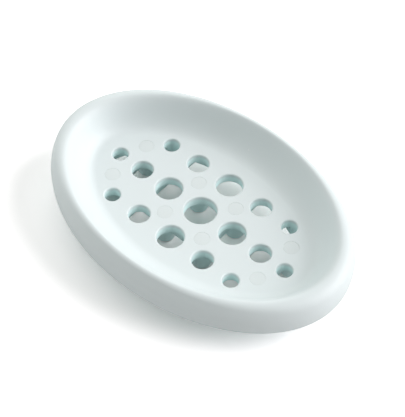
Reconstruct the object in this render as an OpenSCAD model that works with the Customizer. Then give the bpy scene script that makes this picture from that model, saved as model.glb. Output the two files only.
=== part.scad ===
// Oval soap dish with a rolled rim, graduated drain holes and press-in feet.
// Origin: on the ground under the middle of the dish. X runs along the dish,
// Y across it, Z up. Front is towards -Y and left is towards -X.

/* [Overall] */
// Length over the widest line of the rim
dish_length = 119; // [100:0.5:180]
// Width over the widest line of the rim
dish_width = 80; // [76:0.5:130]
// Height of the rim above the ground, halfway along a side
rim_height = 23; // [21:0.1:40]
// Extra height of the rim at the two ends
end_rise = -0.4; // [-1:0.1:5]

/* [Rim] */
// Radius of the rounded top edge of the rim, halfway along a side
rim_round = 1.6; // [0.8:0.1:2.4]
// Radius of the rounded top edge at the two ends, where the rim rolls over more softly
end_round = 4.5; // [2:0.1:4.8]
// Angle that the rounded top edge turns through before the outer side starts
rim_turn = 60; // [45:1:70]
// Inset of the rim's highest line from the widest line, halfway along a side
rim_inset = 3.9; // [3.2:0.1:4.6]
// Inset of the rim's highest line at the two ends
end_inset = 4.7; // [4.2:0.1:5.4]
// Height of the widest line above the ground
wide_height = 16; // [14.5:0.1:17]
// Distance across the inner wall, from the top of the rim to the flat floor
wall_run = 11.5; // [9:0.1:11.6]
// How far the hollow foot of the inner wall reaches along its run
sweep_share = 0.5; // [0.2:0.01:0.9]
// How far the rounded top of the inner wall reaches along its run, halfway along a side
crest_share = 0.14; // [0.05:0.01:0.7]
// How far the rounded top of the inner wall reaches along its run at the two ends
end_crest_share = 0.4; // [0.05:0.01:0.7]
// How far the outer side carries on in the direction of the rounded top edge
bulge_share = 0.54; // [0.3:0.01:0.7]
// How far up the outer side stays upright above the widest line
belly_share = 0.4; // [0.2:0.01:0.5]
// How far the outer side stays upright below the widest line
upright_share = 0.88; // [0.3:0.01:0.98]
// How far the underside stays level before it turns up into the outer side
level_share = 0.8; // [0.2:0.01:0.95]

/* [Floor] */
// Height of the floor's upper face above the ground
floor_height = 13; // [11:0.1:16]
// Thickness of the floor
floor_thick = 4.2; // [2.5:0.1:5.5]

/* [Drain holes] */
// Diameter of the middle hole
hole_size = 11.5; // [9:0.1:12]
// How much each hole is smaller than the one before it
hole_step = 1.95; // [0.5:0.05:2.2]
// Width of the floor left between two holes of a row
hole_web = 4; // [3:0.1:4.3]
// Distance from one row of holes to the next
row_pitch = 15; // [14.2:0.1:15.5]
// Radius of the rounded upper edge of a hole
hole_round = 0.5; // [0.2:0.05:0.6]
// Radius of the rounded lower edge of a hole
hole_under_round = 0.4; // [0.2:0.05:0.8]

/* [Base] */
// Inset of the underside's edge from the widest line
base_inset = 5.8; // [4:0.1:12]
// Inset of the base ring from the widest line
ring_inset = 16; // [13:0.1:17]
// Depth of the base ring and of the ribs below the floor
rib_depth = 4; // [1:0.1:5]
// Thickness of the base ring and of the ribs
rib_thick = 1.4; // [1:0.1:1.8]

/* [Feet] */
// Distance of the inner feet from the middle of the length
foot_inner_x = 8.5; // [8.2:0.1:9]
// Distance of the outer feet from the middle of the length
foot_outer_x = 33.3; // [32:0.1:35]
// Distance of the feet from the middle of the width
foot_y = 8.6; // [8.2:0.1:9]
// Diameter of a foot's stem
stem_size = 5.4; // [4:0.1:5.8]
// How far the stem's end lies below the floor's upper face
stem_drop = 0.1; // [0.05:0.05:0.6]
// Radius of the stem's rounded end
stem_round = 0.25; // [0.1:0.05:1]
// Wall of the socket around the stem
socket_wall = 1.4; // [0.8:0.1:1.6]
// Diameter of the pad that stands on the ground
pad_size = 7; // [6.4:0.1:8]
// Radius of the pad's rounded lower edge
pad_round = 1.2; // [0.4:0.1:2]
// Radius of the bead that holds the stem in its socket
bead_round = 0.45; // [0.2:0.05:0.7]
// Gap around a stem in its socket
stem_gap = 0.06; // [0.04:0.01:0.2]

/* [Smoothness] */
// Steps around the rim
around_steps = 96; // [48:4:120]
// Steps along the inner wall
wall_steps = 11; // [6:1:14]
// Steps around the rim's rounded top edge
edge_steps = 5; // [3:1:8]
// Steps along the outer side above the widest line
belly_steps = 6; // [4:1:10]
// Steps along the outer side below the widest line
side_steps = 7; // [5:1:10]
// Steps around a small round edge
fine_steps = 32; // [24:4:48]

/* [View] */
// The piece that is drawn, or all of them

/* [Hidden] */

// Colours
dish_shares = [0.80, 0.88, 0.88];
foot_shares = [0.74, 0.84, 0.84];

// Derived sizes
half_length = dish_length / 2;
half_width = dish_width / 2;
floor_inset = rim_inset + wall_run;
floor_under = floor_height - floor_thick;
base_height = floor_under - rib_depth;
hole_columns = 3;
hole_rows = 1;
stem_r = stem_size / 2;
socket_r = stem_r + socket_wall;
bore_r = stem_r + stem_gap;
pad_r = pad_size / 2;
stem_top = floor_height - stem_drop;
bead_height = floor_height - floor_thick / 2;
// How far a cut runs past the face that it opens
overrun = floor_thick / 2;
// How far a solid runs into the solid that it joins
embed = floor_thick / 4;
turn = 360;

// Points of the oval outline, and its outward direction
function outline(a) = [half_length * cos(a), half_width * sin(a)];
function slope_out(a) = [cos(a) / half_length, sin(a) / half_width];
function outward(a) = slope_out(a) / norm(slope_out(a));
function inset_point(a, d) = outline(a) - outward(a) * d;

// A value that goes smoothly from the sides of the oval to its ends
function blend(a, side, end) = side + (end - side) * pow(cos(a), 2);

// A smooth curve from p to s, leaving towards q and arriving from r
function curve(p, q, r, s, u) =
    p * pow(1 - u, 3)
    + q * 3 * u * pow(1 - u, 2)
    + r * 3 * pow(u, 2) * (1 - u)
    + s * pow(u, 3);

// Section through the rim as inset and height, in four runs
function wall_curve(top, inset, crest, u) =
    let (run = floor_inset - inset)
    curve(
        [floor_inset, floor_height],
        [floor_inset - run * sweep_share, floor_height],
        [inset + run * crest, top],
        [inset, top],
        u
    );

function edge_curve(top, inset, radius, u) = [
    inset - radius * sin(rim_turn * u),
    top - radius * (1 - cos(rim_turn * u))
];

function belly_curve(start, u) =
    curve(
        start,
        start - start[0] * bulge_share * [1, tan(rim_turn)],
        [0, wide_height + (start[1] - wide_height) * belly_share],
        [0, wide_height],
        u
    );

function side_curve(u) =
    let (drop = wide_height - floor_under)
    curve(
        [0, wide_height],
        [0, wide_height - drop * upright_share],
        [base_inset * (1 - level_share), floor_under],
        [base_inset, floor_under],
        u
    );

// The section at one place on the outline
function section(a) =
    let (
        top = blend(a, rim_height, rim_height + end_rise),
        inset = blend(a, rim_inset, end_inset),
        radius = blend(a, rim_round, end_round),
        crest = blend(a, crest_share, end_crest_share),
        start = edge_curve(top, inset, radius, 1)
    )
    concat(
        [for (i = [0 : wall_steps]) wall_curve(top, inset, crest, i / wall_steps)],
        [for (i = [1 : edge_steps]) edge_curve(top, inset, radius, i / edge_steps)],
        [for (i = [1 : belly_steps]) belly_curve(start, i / belly_steps)],
        [for (i = [1 : side_steps]) side_curve(i / side_steps)]
    );

// Joins the sections around the outline into one closed solid
module shell() {
    rings = wall_steps + edge_steps + belly_steps + side_steps + 1;
    sections = [for (j = [0 : around_steps - 1]) section(turn * j / around_steps)];
    spots = [
        for (i = [0 : rings - 1])
            for (j = [0 : around_steps - 1])
                let (
                    q = sections[j][i],
                    p = inset_point(turn * j / around_steps, q[0])
                )
                [p[0], p[1], q[1]]
    ];
    bands = [
        for (i = [0 : rings - 2])
            for (j = [0 : around_steps - 1])
                let (
                    k = (j + 1) % around_steps,
                    a = i * around_steps + j,
                    b = i * around_steps + k,
                    c = a + around_steps,
                    d = b + around_steps
                )
                each [[a, b, d], [a, d, c]]
    ];
    upper_cap = [for (j = [around_steps - 1 : -1 : 0]) j];
    lower_cap = [for (j = [0 : around_steps - 1]) (rings - 1) * around_steps + j];
    polyhedron(
        points = spots,
        faces = concat(bands, [upper_cap, lower_cap]),
        convexity = 6
    );
}

module oval(d) {
    polygon([
        for (j = [0 : around_steps - 1]) inset_point(turn * j / around_steps, d)
    ]);
}

// Places of the drain holes
function hole_r(k) = (hole_size - hole_step * k) / 2;
function hole_x(k) = k == 0 ? 0 : hole_x(k - 1) + hole_r(k - 1) + hole_web + hole_r(k);

// One drain hole with rounded edges, cut from the floor and the base ring
module drain_hole(r) {
    translate([0, 0, base_height - overrun])
        cylinder(r = r, h = floor_height - base_height + 2 * overrun, $fn = fine_steps);
    translate([0, 0, floor_height])
        rotate_extrude($fn = fine_steps)
            edge_cut(r, hole_round);
    translate([0, 0, floor_under])
        mirror([0, 0, 1])
            rotate_extrude($fn = fine_steps)
                edge_cut(r, hole_under_round);
}

// Section of the material taken off a hole's rounded edge
module edge_cut(r, edge) {
    difference() {
        translate([r - edge, -edge])
            square([2 * edge, 2 * edge]);
        translate([r + edge, -edge])
            circle(r = edge, $fn = fine_steps);
    }
}

module drain_holes() {
    for (row = [-hole_rows : hole_rows])
        for (column = [-hole_columns : hole_columns])
            if (abs(row) + abs(column) <= hole_columns)
                translate([sign(column) * hole_x(abs(column)), row * row_pitch, 0])
                    drain_hole(hole_r(abs(row) + abs(column)));
}

// Places of the feet
module at_feet() {
    for (x = [-foot_outer_x, -foot_inner_x, foot_inner_x, foot_outer_x])
        for (y = [-foot_y, foot_y])
            translate([x, y, 0])
                children();
}

// Ring and ribs under the floor
module base_frame() {
    translate([0, 0, base_height])
        linear_extrude(height = rib_depth + embed)
            difference() {
                oval(ring_inset);
                oval(ring_inset + rib_thick);
            }
    intersection() {
        translate([0, 0, base_height])
            linear_extrude(height = rib_depth + embed)
                oval(ring_inset + rib_thick / 2);
        ribs();
    }
}

module ribs() {
    rib_x = (foot_inner_x + foot_outer_x) / 2;
    for (x = [-foot_outer_x, -rib_x, -foot_inner_x, foot_inner_x, rib_x, foot_outer_x])
        translate([x - rib_thick / 2, -half_width, base_height])
            cube([rib_thick, dish_width, rib_depth + embed]);
    for (y = [-foot_y, foot_y])
        translate([-half_length, y - rib_thick / 2, base_height])
            cube([dish_length, rib_thick, rib_depth + embed]);
}

module sockets() {
    at_feet()
        translate([0, 0, base_height])
            cylinder(r = socket_r, h = rib_depth + embed, $fn = fine_steps);
}

module socket_bores() {
    at_feet() {
        translate([0, 0, base_height - overrun])
            cylinder(
                r = bore_r,
                h = floor_height - base_height + 2 * overrun,
                $fn = fine_steps
            );
        bead(bead_round + stem_gap);
    }
}

// The bead around a stem, or the groove for it
module bead(r) {
    translate([0, 0, bead_height])
        rotate_extrude($fn = fine_steps)
            translate([stem_r - bead_round / 2, 0])
                circle(r = r, $fn = fine_steps);
}

module dish() {
    color(dish_shares)
        difference() {
            union() {
                shell();
                base_frame();
                sockets();
            }
            drain_holes();
            socket_bores();
        }
}

// Section of a rod from the axis outwards, with one rounded edge at its foot
module rod_section(r, h, edge) {
    translate([0, edge])
        square([r, h - edge]);
    square([r - edge, h]);
    translate([r - edge, edge])
        circle(r = edge, $fn = fine_steps);
}

// Stem, bead and pad in one piece
module foot(x, y) {
    color(foot_shares)
        translate([x, y, 0]) {
            rotate_extrude($fn = fine_steps)
                rod_section(pad_r, base_height, pad_round);
            translate([0, 0, stem_top])
                mirror([0, 0, 1])
                    rotate_extrude($fn = fine_steps)
                        rod_section(stem_r, stem_top - base_height + embed, stem_round);
            bead(bead_round);
        }
}

module foot_inner_left_front() foot(-foot_inner_x, -foot_y);
module foot_inner_left_back() foot(-foot_inner_x, foot_y);
module foot_inner_right_front() foot(foot_inner_x, -foot_y);
module foot_inner_right_back() foot(foot_inner_x, foot_y);
module foot_outer_left_front() foot(-foot_outer_x, -foot_y);
module foot_outer_left_back() foot(-foot_outer_x, foot_y);
module foot_outer_right_front() foot(foot_outer_x, -foot_y);
module foot_outer_right_back() foot(foot_outer_x, foot_y);

dish();
foot_inner_left_front();
foot_inner_left_back();
foot_inner_right_front();
foot_inner_right_back();
foot_outer_left_front();
foot_outer_left_back();
foot_outer_right_front();
foot_outer_right_back();
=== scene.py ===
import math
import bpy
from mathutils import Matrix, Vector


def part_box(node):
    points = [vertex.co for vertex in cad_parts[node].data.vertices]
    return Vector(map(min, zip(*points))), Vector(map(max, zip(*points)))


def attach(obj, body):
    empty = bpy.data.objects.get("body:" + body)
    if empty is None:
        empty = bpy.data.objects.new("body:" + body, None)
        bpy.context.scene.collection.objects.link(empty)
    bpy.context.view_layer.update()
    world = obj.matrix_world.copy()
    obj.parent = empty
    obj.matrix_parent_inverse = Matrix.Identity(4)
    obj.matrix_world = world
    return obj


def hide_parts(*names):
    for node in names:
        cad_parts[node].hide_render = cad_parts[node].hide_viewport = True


bl_info = {
    "name": "Oval soap dish",
    "version": (1, 0, 0),
    "blender": (4, 5, 0),
    "location": "View3D > Sidebar > Soap Dish",
    "description": "Builds the smooth oval soap dish, its push-in feet and its stage",
    "category": "Object",
}

import bmesh
import bpy
from mathutils import Matrix, Vector

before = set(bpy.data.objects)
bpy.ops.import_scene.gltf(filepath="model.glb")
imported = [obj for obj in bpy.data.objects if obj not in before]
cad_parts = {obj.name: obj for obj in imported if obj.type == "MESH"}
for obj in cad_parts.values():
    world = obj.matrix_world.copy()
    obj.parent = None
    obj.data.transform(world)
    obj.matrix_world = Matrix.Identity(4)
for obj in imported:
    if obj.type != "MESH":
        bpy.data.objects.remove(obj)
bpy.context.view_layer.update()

MM = 0.001
FEET = sorted(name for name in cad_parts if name.startswith("foot_"))
DISH_LOW, DISH_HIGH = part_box("dish")

# Steps along the section's curves, around the oval, around a hole and over a rounded edge
WALL_STEPS = 28
EDGE_STEPS = 10
BELLY_STEPS = 16
SIDE_STEPS = 18
AROUND_STEPS = 256
HOLE_STEPS = 64
ROUND_STEPS = 6
BEVEL_STEPS = 3

# Level strip beside a curved edge, distance at which points merge, and angle of a real edge
FLAT_STRIP = 0.1 * MM
MERGE_DISTANCE = FLAT_STRIP / 100
SHARP_ANGLE = math.radians(32)

# Most sides that a finished face keeps
QUAD = 4

# Vertex layer that holds a section's change towards the oval's ends
END_CHANGE = "end_change"

# Drain holes: rows across the floor, and holes from the middle one to the last of the long row
HOLE_ROWS = (-1, 0, 1)
HOLES_OUT = 3

# Base ring and ribs: share of the floor's thickness that they reach into, and their lower edge
BASE_BITE = 0.25
RIB_EDGE = 0.25 * MM

# Skin: cell distances over which a speck fades, tones over which a cell gets one, and its dust
SPECK_FADE = (0.05, 0.09)
SPECK_TONES = (0.90, 0.92)
DUST = (0.82, 0.84, 0.83, 1.0)
DUST_STRENGTH = 0.6

# Grain: how far it changes the roughness, and the strength and depth of its bump
GRAIN_ROUGHNESS = 0.06
GRAIN_STRENGTH = 0.12
GRAIN_DEPTH = 0.06 * MM

# Painted light below the floor, standing in for light that soaks through the moulding into its
# shaded underside: depths over which it grows, and shares of the oval over which it fades
PAINTED_LIGHT_DEPTHS = (0.3 * MM, 2.0 * MM)
PAINTED_LIGHT_REACH = (0.9, 0.7)

# Deeper tint in the clouds of the feet, as a share of their own colour
FEET_CLOUDS = 0.95

# Factor and two colours among a Mix node's inputs, and the mixed colour among its outputs
MIX_INPUTS = (0, 6, 7)
MIX_RESULT = 2

WHITE = (1.0, 1.0, 1.0, 1.0)

# Ground: half its width, its gap under the pads, its own white, the white that the camera sees
# beside the dish, and the painted light that it sees under the dish through the drain holes
GROUND_HALF = 3.0
GROUND_GAP = 0.03 * MM
GROUND_MATT = (0.8, 0.8, 0.8, 1.0)
GROUND_SEEN = (1.45, 1.45, 1.45, 1.0)
GROUND_SEEN_PAINTED_LIGHT = (1.38, 1.33, 1.31, 1.0)

# Colour, turn, height and spread of the two soft lamps
MAIN_LAMP = ((1.0, 0.955, 0.975), math.radians(42), math.radians(31), math.radians(52))
SIDE_LAMP = ((1.0, 1.0, 0.98), math.radians(180), math.radians(24), math.radians(120))

# Camera of the photograph: a long lens, looking down from the dish's front right
IMAGE_HEIGHT = 417
FOCAL_PIXELS = 1634.984
SENSOR = 36.0
CAMERA_TILT = math.radians(51.651)
CAMERA_TURN = math.radians(42.101)
CAMERA_DISTANCE = 557.436 * MM
CAMERA_AIM = (0.047 * MM, 1.098 * MM)
CAMERA_RANGE = (0.01, 20.0)


def length_prop(name, text, millimetres, low=0.0):
    """A size that a user may change, shown in the scene's units."""
    return bpy.props.FloatProperty(
        name=name,
        description=text,
        default=millimetres * MM,
        min=low,
        precision=5,
        subtype="DISTANCE",
        unit="LENGTH",
    )


def colour_prop(name, text, value):
    """A colour that a user may change."""
    return bpy.props.FloatVectorProperty(
        name=name, description=text, default=value, size=3, min=0.0, max=1.0, subtype="COLOR"
    )


def angle_prop(name, text, degrees):
    """An angle that a user may change."""
    return bpy.props.FloatProperty(
        name=name, description=text, default=math.radians(degrees), subtype="ANGLE", unit="ROTATION"
    )


def share_prop(name, text, value):
    """A plain number from nothing to one."""
    return bpy.props.FloatProperty(name=name, description=text, default=value, min=0.0, max=1.0)


def strength_prop(name, text, value):
    """The strength of a light."""
    return bpy.props.FloatProperty(name=name, description=text, default=value, min=0.0)


class SoapDishShape(bpy.types.PropertyGroup):
    """Sizes of the moulded dish."""

    rim_round: length_prop("Rim edge", "Radius of the rim's rounded top edge at the sides", 1.6)
    end_round: length_prop("End edge", "Radius of the rim's rounded top edge at the ends", 4.5)
    rim_turn: angle_prop("Edge turn", "Angle that the rounded top edge turns through", 60)
    rim_inset: length_prop("Rim inset", "Inset of the rim's highest line at the sides", 3.9)
    end_inset: length_prop("End inset", "Inset of the rim's highest line at the ends", 4.7)
    end_rise: length_prop("End rise", "Extra height of the rim at the two ends", -0.4, -10 * MM)
    wide_height: length_prop("Widest line", "Height of the widest line above the ground", 16.0)
    wall_run: length_prop("Wall run", "Distance across the inner wall", 11.5)
    sweep_share: share_prop("Sweep", "Reach of the hollow foot of the inner wall", 0.5)
    crest_share: share_prop("Crest", "Reach of the inner wall's rounded top at the sides", 0.14)
    end_crest: share_prop("End crest", "Reach of the inner wall's rounded top at the ends", 0.4)
    bulge_share: share_prop("Bulge", "How far the outer side carries on from the top edge", 0.54)
    belly_share: share_prop("Belly", "How far up the outer side stays upright", 0.4)
    upright_share: share_prop("Upright", "How far down the outer side stays upright", 0.88)
    level_share: share_prop("Level", "How far the underside stays level", 0.8)
    floor_height: length_prop("Floor height", "Height of the floor's upper face", 13.0)
    floor_thick: length_prop("Floor thickness", "Thickness of the floor", 4.2)
    base_inset: length_prop("Base inset", "Inset of the underside's edge", 5.8)
    ring_inset: length_prop("Base ring", "Inset of the base ring from the widest line", 16.0)
    rib_thick: length_prop("Rib thickness", "Thickness of the base ring and ribs", 1.4)
    hole_size: length_prop("Middle hole", "Diameter of the middle drain hole", 11.5)
    hole_step: length_prop("Hole step", "How much each hole is smaller than the last", 1.95)
    hole_web: length_prop("Hole web", "Floor left between two holes of a row", 4.0)
    row_pitch: length_prop("Row pitch", "Distance from one row of holes to the next", 15.0)
    hole_round: length_prop("Hole edge", "Radius of a hole's rounded upper edge", 0.5)
    hole_under: length_prop("Lower edge", "Radius of a hole's rounded lower edge", 0.4)


class SoapDishFeet(bpy.types.PropertyGroup):
    """Sizes of the push-in feet."""

    inner_x: length_prop("Inner feet", "Distance of the inner feet from the middle", 8.5)
    outer_x: length_prop("Outer feet", "Distance of the outer feet from the middle", 33.3)
    y: length_prop("Across", "Distance of the feet from the middle of the width", 8.6)
    stem_r: length_prop("Stem", "Radius of a foot's stem", 2.7)
    stem_drop: length_prop("Stem drop", "Depth of the stem's end below the floor", 0.03)
    stem_round: length_prop("Stem edge", "Radius of the stem's rounded end", 0.06)
    stem_gap: length_prop("Stem gap", "Gap around a stem squeezed into its socket", 0.015)
    socket_round: length_prop("Socket edge", "Radius of the rounded edges of a socket", 0.05)
    socket_wall: length_prop("Socket wall", "Wall of the socket around a stem", 1.4)
    pad_r: length_prop("Pad", "Radius of the pad that stands on the ground", 3.5)
    pad_round: length_prop("Pad edge", "Radius of the pad's rounded lower edge", 1.2)
    bead: length_prop("Bead", "Radius of the bead that holds the stem", 0.45)


class SoapDishLook(bpy.types.PropertyGroup):
    """Colours and light."""

    dish: colour_prop("Dish", "Colour of the moulded dish", (0.662, 0.735, 0.733))
    deep: colour_prop("Clouds", "Deeper tint in the moulding's slow clouds", (0.648, 0.72, 0.722))
    # Painted light: a brighter, greener tint below the floor stands in for light soaking through
    # the moulding
    below: colour_prop(
        "Below the floor", "Tint below the floor, where light soaks through", (0.74, 0.93, 0.92)
    )
    feet: colour_prop("Feet", "Colour of the push-in feet", (0.65, 0.72, 0.715))
    roughness: share_prop("Roughness", "Roughness of the soft moulding", 0.5)
    lamp: strength_prop("Main lamp", "Strength of the soft lamp at the dish's back right", 3.3)
    side: strength_prop("Side lamp", "Strength of the wide lamp beyond the left end", 2.25)
    fill: strength_prop("Fill", "Strength of the even light around the dish", 0.22)


# Shapes


def curve_points(corners, steps):
    """Points of a smooth curve that starts and ends along the lines of its four corners."""
    points = []
    for i in range(steps + 1):
        u = i / steps
        v = 1.0 - u
        weights = (v**3, 3 * u * v**2, 3 * u**2 * v, u**3)
        points.append(tuple(sum(w * c for w, c in zip(weights, row)) for row in zip(*corners)))
    return points


def section_points(shape, top, inset, radius, crest):
    """Inset and height of the moulded section, from the floor over the rim to the base."""
    floor_z = shape.floor_height
    under_z = floor_z - shape.floor_thick
    wide_z = shape.wide_height
    floor_inset = shape.rim_inset + shape.wall_run
    run = floor_inset - inset
    wall = curve_points(
        (
            (floor_inset, floor_z),
            (floor_inset - run * shape.sweep_share, floor_z),
            (inset + run * crest, top),
            (inset, top),
        ),
        WALL_STEPS,
    )
    turns = [shape.rim_turn * i / EDGE_STEPS for i in range(EDGE_STEPS + 1)]
    edge = [(inset - radius * math.sin(t), top - radius * (1 - math.cos(t))) for t in turns]
    edge_inset, edge_z = edge[-1]
    reach = edge_inset * shape.bulge_share
    belly = curve_points(
        (
            (edge_inset, edge_z),
            (edge_inset - reach, edge_z - reach * math.tan(shape.rim_turn)),
            (0.0, wide_z + (edge_z - wide_z) * shape.belly_share),
            (0.0, wide_z),
        ),
        BELLY_STEPS,
    )
    side = curve_points(
        (
            (0.0, wide_z),
            (0.0, wide_z - (wide_z - under_z) * shape.upright_share),
            (shape.base_inset * (1 - shape.level_share), under_z),
            (shape.base_inset, under_z),
        ),
        SIDE_STEPS,
    )
    start = (floor_inset + FLAT_STRIP, floor_z)
    finish = (shape.base_inset + FLAT_STRIP, under_z)
    return [start, *wall, *edge[1:-1], *belly, *side[1:], finish]


def settle_order(bm):
    """Orders points, edges and faces by place, so that each run gives the same mesh."""
    spots = {v: [round(c / MERGE_DISTANCE) for c in v.co] for v in bm.verts}

    def place(item):
        return sorted(spots[v] for v in getattr(item, "verts", (item,)))

    groups = (bm.verts, bm.edges, bm.faces)
    for items in groups:
        for index, item in enumerate(sorted(items, key=place)):
            item.index = index
    for items in groups:
        items.sort()


def spun(points, centre, steps, changes=None):
    """A new mesh: a chain of (radius, height) points spun around an upright axis.

    changes: how far the inset and the height of each point change towards the oval's ends.
    """
    bm = bmesh.new()
    layer = bm.verts.layers.float_vector.new(END_CHANGE) if changes else None
    chain = [bm.verts.new((centre[0] + r, centre[1], z)) for r, z in points]
    for v, (inset, height) in zip(chain, changes or ()):
        v[layer] = (inset, height, 0.0)
    edges = [bm.edges.new(pair) for pair in zip(chain, chain[1:])]
    bmesh.ops.spin(
        bm,
        geom=chain + edges,
        cent=(centre[0], centre[1], 0.0),
        axis=(0.0, 0.0, 1.0),
        dvec=(0.0, 0.0, 0.0),
        angle=math.tau,
        steps=steps,
        use_merge=True,
        use_duplicate=False,
    )
    settle_order(bm)
    return bm


def oval_point(angle, inset):
    """The point that lies inset inwards from the dish's widest line."""
    half_length, half_width = DISH_HIGH.x, DISH_HIGH.y
    out = Vector((math.cos(angle) / half_length, math.sin(angle) / half_width)).normalized()
    return (
        half_length * math.cos(angle) - out.x * inset,
        half_width * math.sin(angle) - out.y * inset,
    )


def oval_spin(points, changes=None):
    """A new mesh: a chain of (inset, height) points carried round the oval.

    changes: how far the inset and the height of each point change towards the oval's ends.
    """
    reach = DISH_HIGH.x
    bm = spun([(reach - inset, z) for inset, z in points], (0.0, 0.0), AROUND_STEPS, changes)
    layer = bm.verts.layers.float_vector.get(END_CHANGE)
    for v in bm.verts:
        angle = math.atan2(v.co.y, v.co.x)
        change = v[layer] * math.cos(angle) ** 2 if layer else Vector()
        x, y = oval_point(angle, reach - math.hypot(v.co.x, v.co.y) + change.x)
        v.co = (x, y, v.co.z + change.y)
    if layer:
        bm.verts.layers.float_vector.remove(layer)
    return bm


def oval_reach(place, inset, along_x):
    """How far a rib at one place reaches before it meets the oval at an inset."""
    best = 0.0
    for i in range(AROUND_STEPS):
        a = oval_point(math.tau * i / AROUND_STEPS, inset)
        b = oval_point(math.tau * (i + 1) / AROUND_STEPS, inset)
        p, q = (a[1], b[1]) if along_x else (a[0], b[0])
        if (p - place) * (q - place) <= 0 and p != q:
            u = (place - p) / (q - p)
            best = max(best, a[0] + (b[0] - a[0]) * u if along_x else a[1] + (b[1] - a[1]) * u)
    return best


def rounding(radius, height, edge, outward, down):
    """Points of a quarter round between a level face and an upright wall."""
    turns = [math.pi / 2 * i / ROUND_STEPS for i in range(ROUND_STEPS + 1)]
    return [
        (
            radius + outward * edge * (1 - math.sin(t)),
            height - down * edge * (1 - math.cos(t)),
        )
        for t in turns
    ]


def bead_points(shape, feet, gap=0.0):
    """Points down a stem's bead, or down the groove that leaves a gap around it."""
    height = shape.floor_height - shape.floor_thick / 2
    centre = feet.stem_r - feet.bead / 2
    radius = feet.bead + gap
    half = math.acos((feet.stem_r + gap - centre) / radius)
    turns = [half * (1 - 2 * i / ROUND_STEPS) for i in range(ROUND_STEPS + 1)]
    return [(centre + radius * math.cos(t), height + radius * math.sin(t)) for t in turns]


def hole_places(shape):
    """Centre and radius of every drain hole."""
    radii = [(shape.hole_size - shape.hole_step * k) / 2 for k in range(HOLES_OUT + 1)]
    xs = [0.0]
    for inner, outer in zip(radii, radii[1:]):
        xs.append(xs[-1] + inner + shape.hole_web + outer)
    places = []
    for row in HOLE_ROWS:
        for column in range(-HOLES_OUT, HOLES_OUT + 1):
            out = abs(row) + abs(column)
            if out <= HOLES_OUT:
                x = math.copysign(xs[abs(column)], column)
                places.append((x, row * shape.row_pitch, radii[out]))
    return places


def foot_places(feet):
    """Centres of the feet by name."""
    places = {}
    for name in FEET:
        x = feet.inner_x if "_inner_" in name else feet.outer_x
        places[name] = (
            -x if "_left_" in name else x,
            -feet.y if name.endswith("_front") else feet.y,
        )
    return places


# Parts of the dish


def add_shape(bm, part):
    """Adds another mesh's shape to this one and frees it."""
    mesh = bpy.data.meshes.new("part")
    part.to_mesh(mesh)
    part.free()
    bm.from_mesh(mesh)
    bpy.data.meshes.remove(mesh)


def shell_shape(shape):
    """The oval shell, open at the floor and at the underside."""
    top = DISH_HIGH.z - max(shape.end_rise, 0.0)
    end_top = top + shape.end_rise
    side = section_points(shape, top, shape.rim_inset, shape.rim_round, shape.crest_share)
    end = section_points(shape, end_top, shape.end_inset, shape.end_round, shape.end_crest)
    return oval_spin(side, [(q[0] - p[0], q[1] - p[1]) for p, q in zip(side, end)])


def add_holes(bm, shape):
    """Adds the walls of the drain holes with their rounded upper and lower edges."""
    floor_z = shape.floor_height
    under_z = floor_z - shape.floor_thick
    for x, y, r in hole_places(shape):
        points = [
            (r + shape.hole_round + FLAT_STRIP, floor_z),
            *rounding(r, floor_z, shape.hole_round, 1.0, 1.0),
            *rounding(r, under_z, shape.hole_under, 1.0, -1.0)[::-1],
            (r + shape.hole_under + FLAT_STRIP, under_z),
        ]
        add_shape(bm, spun(points, (x, y), HOLE_STEPS))


def add_sockets(bm, shape, feet):
    """Adds the feet's sockets, each with the groove for a bead in its bore."""
    floor_z = shape.floor_height
    under_z = floor_z - shape.floor_thick
    base_z = DISH_LOW.z
    edge = feet.socket_round
    bore = feet.stem_r + feet.stem_gap
    wall = bore + feet.socket_wall
    points = [
        (bore + edge + FLAT_STRIP, floor_z),
        *rounding(bore, floor_z, edge, 1.0, 1.0),
        *bead_points(shape, feet, feet.stem_gap),
        (bore, base_z),
        (wall - edge, base_z),
        (wall, base_z + edge),
        (wall, under_z),
        (wall + FLAT_STRIP, under_z),
    ]
    for x, y in foot_places(feet).values():
        add_shape(bm, spun(points, (x, y), HOLE_STEPS))


def fill_level(bm, height):
    """Closes the level face that the open loops at one height leave."""
    edges = [
        e
        for e in bm.edges
        if e.is_boundary and all(abs(v.co.z - height) < MERGE_DISTANCE for v in e.verts)
    ]
    bmesh.ops.triangle_fill(bm, use_beauty=True, use_dissolve=False, edges=edges)


def rib_block(bm, low, high):
    """Adds a stretch of a rib, whose lower edges are rounded a little."""
    centre = [(a + b) / 2 for a, b in zip(low, high)]
    size = [b - a for a, b in zip(low, high)]
    made = bmesh.ops.create_cube(
        bm, size=1.0, matrix=Matrix.Translation(centre) @ Matrix.Diagonal((*size, 1.0))
    )
    edges = {
        e
        for v in made["verts"]
        for e in v.link_edges
        if all(abs(w.co.z - low[2]) < FLAT_STRIP for w in e.verts)
    }
    bmesh.ops.bevel(
        bm,
        geom=list(edges),
        offset=RIB_EDGE,
        segments=BEVEL_STEPS,
        profile=0.5,
        affect="EDGES",
        material=-1,
    )


def rib_spans(end, sockets, gap):
    """Stretches of a rib from the base ring to the sockets on its way and between them."""
    lows = [-end, *(place + gap for place in sockets)]
    highs = [*(place - gap for place in sockets), end]
    return zip(lows, highs)


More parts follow.
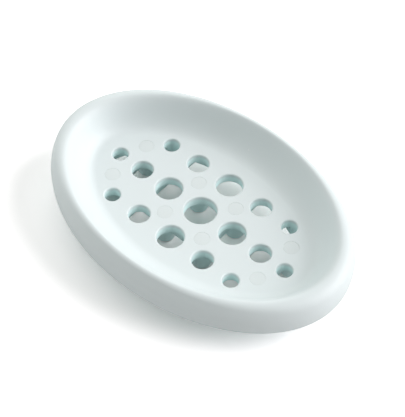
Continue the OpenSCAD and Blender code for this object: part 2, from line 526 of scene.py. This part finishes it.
def base_shape(shape, feet):
    """The base ring and the grid of ribs between the ring and the sockets."""
    base_z = DISH_LOW.z
    top_z = shape.floor_height - shape.floor_thick + shape.floor_thick * BASE_BITE
    outer = shape.ring_inset
    inner = outer + shape.rib_thick
    ring = [
        (outer, top_z),
        (outer, base_z + RIB_EDGE),
        (outer + RIB_EDGE, base_z),
        (inner - RIB_EDGE, base_z),
        (inner, base_z + RIB_EDGE),
        (inner, top_z),
        (outer, top_z),
    ]
    bm = oval_spin(ring)
    bmesh.ops.remove_doubles(bm, verts=bm.verts, dist=MERGE_DISTANCE)

    half = shape.rib_thick / 2
    gap = feet.stem_r + feet.stem_gap + feet.socket_wall / 2
    between = (feet.inner_x + feet.outer_x) / 2
    sockets_x = (-feet.outer_x, -feet.inner_x, feet.inner_x, feet.outer_x)
    sockets_y = (-feet.y, feet.y)
    for y in sockets_y:
        end = oval_reach(y, outer + half, along_x=True)
        for low, high in rib_spans(end, sockets_x, gap):
            rib_block(bm, (low, y - half, base_z), (high, y + half, top_z))
    for x in (-between, between, *sockets_x):
        end = oval_reach(x, outer + half, along_x=False)
        for low, high in rib_spans(end, sockets_y if x in sockets_x else (), gap):
            rib_block(bm, (x - half, low, base_z), (x + half, high, top_z))
    return bm


def hole_cutters(shape):
    """Upright cylinders that keep the base ring and the ribs out of the drain holes."""
    bm = bmesh.new()
    for x, y, r in hole_places(shape):
        bmesh.ops.create_cone(
            bm,
            cap_ends=True,
            segments=HOLE_STEPS,
            radius1=r,
            radius2=r,
            depth=2 * shape.floor_height,
            matrix=Matrix.Translation((x, y, DISH_LOW.z)),
        )
    return bm


# Pieces


def finish_mesh(mesh):
    """Clears slivers, splits many-sided faces and shades all smooth but for the real edges."""
    bm = bmesh.new()
    bm.from_mesh(mesh)
    bmesh.ops.remove_doubles(bm, verts=bm.verts, dist=MERGE_DISTANCE)
    bmesh.ops.dissolve_degenerate(bm, edges=bm.edges, dist=MERGE_DISTANCE)
    many_sided = [face for face in bm.faces if len(face.verts) > QUAD]
    bmesh.ops.triangulate(bm, faces=many_sided, ngon_method="BEAUTY")
    settle_order(bm)
    for face in bm.faces:
        face.smooth = True
    for edge in bm.edges:
        edge.smooth = edge.is_manifold and edge.calc_face_angle(0.0) < SHARP_ANGLE
    bm.to_mesh(mesh)
    bm.free()


def mesh_piece(name, bm, material):
    """Turns a finished bmesh into an object at the origin, smooth but for its real edges."""
    bmesh.ops.remove_doubles(bm, verts=bm.verts, dist=MERGE_DISTANCE)
    settle_order(bm)
    bmesh.ops.recalc_face_normals(bm, faces=bm.faces)
    mesh = bpy.data.meshes.new(name)
    bm.to_mesh(mesh)
    bm.free()
    mesh.materials.append(material)
    piece = bpy.data.objects.new(name, mesh)
    bpy.context.scene.collection.objects.link(piece)
    finish_mesh(mesh)
    return piece


def join_solid(piece, other, operation, crossing=False):
    """Joins another closed piece to this one, or cuts it away, and removes the other.

    crossing: the piece is made of solids that cross each other.
    """
    step = piece.modifiers.new("join", "BOOLEAN")
    step.object = other
    step.operation = operation
    step.solver = "EXACT"
    step.use_self = crossing
    graph = bpy.context.evaluated_depsgraph_get()
    mesh = bpy.data.meshes.new_from_object(piece.evaluated_get(graph), depsgraph=graph)
    piece.modifiers.clear()
    old = piece.data
    piece.data = mesh
    bpy.data.meshes.remove(old)
    bpy.data.objects.remove(other)
    finish_mesh(mesh)


# Materials


def feed(tree, socket, value):
    """Links a socket to another node's socket, or gives it a plain value."""
    if isinstance(value, bpy.types.NodeSocket):
        tree.links.new(value, socket)
    else:
        socket.default_value = value


def add_node(tree, kind, *sources, **values):
    """Adds a node and feeds its inputs: sources in their order, values by name.

    A value that names no input sets the node's own setting of that name.
    """
    node = tree.nodes.new(kind)
    for key, value in values.items():
        name = key.replace("_", " ")
        if name in node.inputs:
            feed(tree, node.inputs[name], value)
        else:
            setattr(node, key, value)
    for socket, value in zip(node.inputs, sources):
        feed(tree, socket, value)
    return node


def mix_colours(tree, mask, first, second):
    """Goes from the first colour to the second as the mask grows, and gives that socket."""
    node = add_node(tree, "ShaderNodeMix", data_type="RGBA")
    for index, value in zip(MIX_INPUTS, (mask, first, second)):
        feed(tree, node.inputs[index], value)
    return node.outputs[MIX_RESULT]


def new_group(name, inputs, outputs):
    """A new node group of plain numbers: its inputs with their defaults, and its outputs."""
    tree = bpy.data.node_groups.new(name, "ShaderNodeTree")
    for label, value in inputs.items():
        socket = tree.interface.new_socket(label, in_out="INPUT", socket_type="NodeSocketFloat")
        socket.default_value = value
    for label in outputs:
        tree.interface.new_socket(label, in_out="OUTPUT", socket_type="NodeSocketFloat")
    return tree


def add_group(tree, name, build, **values):
    """Places a shared node group with its own values, and builds it when it isn't there yet."""
    group = bpy.data.node_groups.get(name) or build(name)
    return add_node(tree, "ShaderNodeGroup", node_tree=group, **values)


def moulded_skin_group(name):
    """Node group: slow clouds, fine grain and dust specks of a soft moulded skin."""
    scales = {"Cloud scale": 30.0, "Grain scale": 2600.0, "Speck scale": 260.0}
    tree = new_group(name, scales, ("Clouds", "Grain", "Specks"))
    inside = add_node(tree, "NodeGroupInput").outputs
    place = add_node(tree, "ShaderNodeTexCoord").outputs["Object"]
    clouds = add_node(
        tree,
        "ShaderNodeTexNoise",
        Vector=place,
        Scale=inside["Cloud scale"],
        Detail=3.0,
        Roughness=0.5,
    )
    grain = add_node(
        tree,
        "ShaderNodeTexNoise",
        Vector=place,
        Scale=inside["Grain scale"],
        Detail=4.0,
        Roughness=0.65,
    )
    cells = add_node(
        tree,
        "ShaderNodeTexVoronoi",
        feature="F1",
        Vector=place,
        Scale=inside["Speck scale"],
        Randomness=1.0,
    )
    near = add_node(
        tree,
        "ShaderNodeMapRange",
        Value=cells.outputs["Distance"],
        From_Min=SPECK_FADE[0],
        From_Max=SPECK_FADE[1],
        To_Min=1.0,
        To_Max=0.0,
    )
    tone = add_node(tree, "ShaderNodeSeparateColor", Color=cells.outputs["Color"])
    few = add_node(
        tree,
        "ShaderNodeMapRange",
        Value=tone.outputs["Red"],
        From_Min=SPECK_TONES[0],
        From_Max=SPECK_TONES[1],
    )
    specks = add_node(
        tree,
        "ShaderNodeMath",
        near.outputs["Result"],
        few.outputs["Result"],
        operation="MULTIPLY",
    )
    add_node(
        tree,
        "NodeGroupOutput",
        Clouds=clouds.outputs["Fac"],
        Grain=grain.outputs["Fac"],
        Specks=specks.outputs["Value"],
    )
    return tree


def painted_light_mask_group(name):
    """Node group: a soft mask of all that lies below the floor, well inside the outline, where
    light is painted in.
    """
    tree = new_group(name, {"Floor": 0.0}, ("Below",))
    floor = add_node(tree, "NodeGroupInput").outputs["Floor"]
    place = add_node(tree, "ShaderNodeTexCoord").outputs["Object"]
    parts = add_node(tree, "ShaderNodeSeparateXYZ", place)
    depth = add_node(tree, "ShaderNodeMath", floor, parts.outputs["Z"], operation="SUBTRACT")
    low = add_node(
        tree,
        "ShaderNodeMapRange",
        interpolation_type="SMOOTHSTEP",
        Value=depth.outputs["Value"],
        From_Min=PAINTED_LIGHT_DEPTHS[0],
        From_Max=PAINTED_LIGHT_DEPTHS[1],
    )
    oval = (1 / DISH_HIGH.x, 1 / DISH_HIGH.y, 0.0)
    flat = add_node(tree, "ShaderNodeVectorMath", place, oval, operation="MULTIPLY")
    reach = add_node(tree, "ShaderNodeVectorMath", flat.outputs["Vector"], operation="LENGTH")
    near = add_node(
        tree,
        "ShaderNodeMapRange",
        Value=reach.outputs["Value"],
        From_Min=PAINTED_LIGHT_REACH[0],
        From_Max=PAINTED_LIGHT_REACH[1],
    )
    below = add_node(
        tree,
        "ShaderNodeMath",
        low.outputs["Result"],
        near.outputs["Result"],
        operation="MULTIPLY",
    )
    add_node(tree, "NodeGroupOutput", Below=below.outputs["Value"])
    return tree


def soft_material(name, colours, roughness, floor_z):
    """Satin soft moulding: pale tint with slow clouds, fine grain, a little dust and painted light
    below the floor.

    colours: the plain tint, the deeper one in the clouds and the painted light below the floor.
    """
    colour, deep, below = ((*tint, 1.0) for tint in colours)
    material = bpy.data.materials.new(name)
    material.use_nodes = True
    tree = material.node_tree
    skin = add_group(tree, "moulded skin", moulded_skin_group).outputs
    mask = add_group(tree, "below floor", painted_light_mask_group, Floor=floor_z).outputs
    dust = add_node(
        tree, "ShaderNodeMath", skin["Specks"], DUST_STRENGTH, operation="MULTIPLY"
    ).outputs["Value"]
    clouded = mix_colours(tree, skin["Clouds"], deep, colour)
    dusted = mix_colours(tree, dust, clouded, DUST)
    # Painted light: below the floor the colour turns to a brighter tint for light soaking through
    # the moulding
    painted_soak = mix_colours(tree, mask["Below"], dusted, below)
    rough = add_node(
        tree,
        "ShaderNodeMapRange",
        Value=skin["Grain"],
        To_Min=roughness - GRAIN_ROUGHNESS,
        To_Max=roughness + GRAIN_ROUGHNESS,
    )
    bump = add_node(
        tree,
        "ShaderNodeBump",
        Height=skin["Grain"],
        Strength=GRAIN_STRENGTH,
        Distance=GRAIN_DEPTH,
    )
    shader = tree.nodes["Principled BSDF"].inputs
    feed(tree, shader["Base Color"], painted_soak)
    feed(tree, shader["Roughness"], rough.outputs["Result"])
    feed(tree, shader["Normal"], bump.outputs["Normal"])
    return material


def ground_material(floor_z):
    """White ground that keeps the dish's shadow, reads white beside it, has painted light under the
    dish and is clear from below.
    """
    material = bpy.data.materials.new("white ground")
    material.use_nodes = True
    tree = material.node_tree
    tree.nodes.remove(tree.nodes["Principled BSDF"])
    mask = add_group(tree, "below floor", painted_light_mask_group, Floor=floor_z).outputs
    # Painted light on the ground under the dish, seen through the drain holes
    level = mix_colours(tree, mask["Below"], GROUND_SEEN, GROUND_SEEN_PAINTED_LIGHT)
    matt = add_node(tree, "ShaderNodeBsdfDiffuse", Color=GROUND_MATT).outputs[0]
    bright = add_node(tree, "ShaderNodeBsdfDiffuse", Color=level).outputs[0]
    seen = add_node(tree, "ShaderNodeLightPath").outputs["Is Camera Ray"]
    above = add_node(tree, "ShaderNodeMixShader", seen, matt, bright).outputs[0]
    under = add_node(tree, "ShaderNodeNewGeometry").outputs["Backfacing"]
    clear = add_node(tree, "ShaderNodeBsdfTransparent").outputs[0]
    sides = add_node(tree, "ShaderNodeMixShader", under, above, clear).outputs[0]
    feed(tree, tree.nodes["Material Output"].inputs["Surface"], sides)
    return material


# Stage


def white_world(fill):
    """Even light all around, white to the camera and in reflections."""
    world = bpy.data.worlds.new("white room")
    bpy.context.scene.world = world
    world.use_nodes = True
    tree = world.node_tree
    back = tree.nodes["Background"]
    back.inputs["Color"].default_value = WHITE
    back.inputs["Strength"].default_value = fill
    white = add_node(tree, "ShaderNodeBackground", Color=WHITE, Strength=1.0)
    rays = add_node(tree, "ShaderNodeLightPath").outputs
    seen = rays["Is Camera Ray"]
    for ray in ("Is Glossy Ray", "Is Transmission Ray"):
        seen = add_node(tree, "ShaderNodeMath", seen, rays[ray], operation="MAXIMUM").outputs[0]
    pick = add_node(tree, "ShaderNodeMixShader", seen, back.outputs[0], white.outputs[0])
    feed(tree, tree.nodes["World Output"].inputs["Surface"], pick.outputs[0])


def soft_lamp(name, strength, colour, turn, height, spread):
    """A lamp so large and far away that its light comes evenly from a wide patch of the sky."""
    data = bpy.data.lights.new(name, "SUN")
    data.energy = strength
    data.color = colour
    data.angle = spread
    lamp = bpy.data.objects.new(name, data)
    bpy.context.scene.collection.objects.link(lamp)
    flat = math.cos(height)
    towards = Vector((math.cos(turn) * flat, math.sin(turn) * flat, math.sin(height)))
    lamp.location = towards
    lamp.rotation_euler = (-towards).to_track_quat("-Z", "Y").to_euler()


def photo_camera(scene, floor_z):
    """The photograph's camera, aimed at the middle of the floor."""
    data = bpy.data.cameras.new("camera")
    data.lens = FOCAL_PIXELS / IMAGE_HEIGHT * SENSOR
    data.sensor_width = SENSOR
    data.sensor_fit = "AUTO"
    data.clip_start, data.clip_end = CAMERA_RANGE
    camera = bpy.data.objects.new("camera", data)
    scene.collection.objects.link(camera)
    right = Vector((math.cos(CAMERA_TURN), math.sin(CAMERA_TURN), 0.0))
    away = Vector((-math.sin(CAMERA_TURN), math.cos(CAMERA_TURN), 0.0))
    back = -away * math.cos(CAMERA_TILT) + Vector((0, 0, 1)) * math.sin(CAMERA_TILT)
    up = back.cross(right)
    place = Vector((*CAMERA_AIM, floor_z)) + back * CAMERA_DISTANCE
    turn = Matrix((right, up, back)).transposed().to_4x4()
    camera.matrix_world = Matrix.Translation(place) @ turn
    scene.camera = camera


# Operators


class SOAPDISH_OT_dish(bpy.types.Operator):
    """Build the moulded dish with its rim, floor, drain holes, sockets, base ring and ribs"""

    bl_idname = "soapdish.add_dish"
    bl_label = "Add Moulded Dish"

    def execute(self, context):
        shape = context.scene.soap_dish_shape
        feet = context.scene.soap_dish_feet
        look = context.scene.soap_dish_look
        # The third colour is painted light below the floor
        colours = (look.dish, look.deep, look.below)
        material = soft_material("soft dish", colours, look.roughness, shape.floor_height)
        bm = shell_shape(shape)
        add_holes(bm, shape)
        add_sockets(bm, shape, feet)
        fill_level(bm, shape.floor_height)
        fill_level(bm, shape.floor_height - shape.floor_thick)
        dish = mesh_piece("moulded_dish", bm, material)
        base = mesh_piece("base_frame", base_shape(shape, feet), material)
        cutters = mesh_piece("hole_cut", hole_cutters(shape), material)
        join_solid(base, cutters, "DIFFERENCE", crossing=True)
        join_solid(dish, base, "UNION")
        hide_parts("dish")
        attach(dish, "root")
        return {"FINISHED"}


class SOAPDISH_OT_feet(bpy.types.Operator):
    """Build the eight push-in feet"""

    bl_idname = "soapdish.add_feet"
    bl_label = "Add Feet"

    def execute(self, context):
        shape = context.scene.soap_dish_shape
        feet = context.scene.soap_dish_feet
        look = context.scene.soap_dish_look
        # The feet take the same painted light below the floor
        colours = (look.feet, [c * FEET_CLOUDS for c in look.feet], look.below)
        material = soft_material("soft feet", colours, look.roughness, shape.floor_height)
        stem_top = shape.floor_height - feet.stem_drop
        shoulder = DISH_LOW.z
        points = [
            (0.0, stem_top),
            *rounding(feet.stem_r, stem_top, feet.stem_round, -1.0, 1.0),
            *bead_points(shape, feet),
            (feet.stem_r, shoulder),
            (feet.pad_r, shoulder),
            *rounding(feet.pad_r, 0.0, feet.pad_round, -1.0, -1.0)[::-1],
            (0.0, 0.0),
        ]
        for name, (x, y) in foot_places(feet).items():
            bm = spun(points, (x, y), HOLE_STEPS)
            foot = mesh_piece(name.replace("foot_", "push_foot_"), bm, material)
            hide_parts(name)
            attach(foot, "root")
        return {"FINISHED"}


class SOAPDISH_OT_stage(bpy.types.Operator):
    """Build the white ground, the even light, the two lamps and the camera"""

    bl_idname = "soapdish.add_stage"
    bl_label = "Add Stage"

    def execute(self, context):
        scene = context.scene
        floor_z = scene.soap_dish_shape.floor_height
        look = scene.soap_dish_look
        scene.view_settings.view_transform = "Standard"
        bm = bmesh.new()
        lowered = Matrix.Translation((0.0, 0.0, -GROUND_GAP))
        bmesh.ops.create_grid(bm, x_segments=2, y_segments=2, size=GROUND_HALF, matrix=lowered)
        mesh = bpy.data.meshes.new("white_ground")
        bm.to_mesh(mesh)
        bm.free()
        mesh.materials.append(ground_material(floor_z))
        ground = bpy.data.objects.new("white_ground", mesh)
        scene.collection.objects.link(ground)
        white_world(look.fill)
        soft_lamp("main_lamp", look.lamp, *MAIN_LAMP)
        soft_lamp("side_lamp", look.side, *SIDE_LAMP)
        photo_camera(scene, floor_z)
        return {"FINISHED"}


class SOAPDISH_PT_panel(bpy.types.Panel):
    """Lists the soap dish's sizes, colours and operators"""

    bl_idname = "SOAPDISH_PT_panel"
    bl_label = "Soap Dish"
    bl_space_type = "VIEW_3D"
    bl_region_type = "UI"
    bl_category = "Soap Dish"

    def draw(self, context):
        column = self.layout.column()
        for group in SETTINGS:
            settings = getattr(context.scene, group)
            for name in settings.bl_rna.properties.keys():
                if name not in ("rna_type", "name"):
                    column.prop(settings, name)
            column.separator()
        for operator in OPERATORS:
            column.operator(operator.bl_idname)


SETTINGS = {
    "soap_dish_shape": SoapDishShape,
    "soap_dish_feet": SoapDishFeet,
    "soap_dish_look": SoapDishLook,
}
OPERATORS = (SOAPDISH_OT_dish, SOAPDISH_OT_feet, SOAPDISH_OT_stage)
CLASSES = (*SETTINGS.values(), *OPERATORS, SOAPDISH_PT_panel)


def register():
    for item in CLASSES:
        bpy.utils.register_class(item)
    for name, group in SETTINGS.items():
        setattr(bpy.types.Scene, name, bpy.props.PointerProperty(type=group))


def unregister():
    for name in SETTINGS:
        delattr(bpy.types.Scene, name)
    for item in reversed(CLASSES):
        bpy.utils.unregister_class(item)


def main():
    register()
    bpy.ops.soapdish.add_dish()
    bpy.ops.soapdish.add_feet()
    bpy.ops.soapdish.add_stage()


if __name__ == "__main__":
    main()
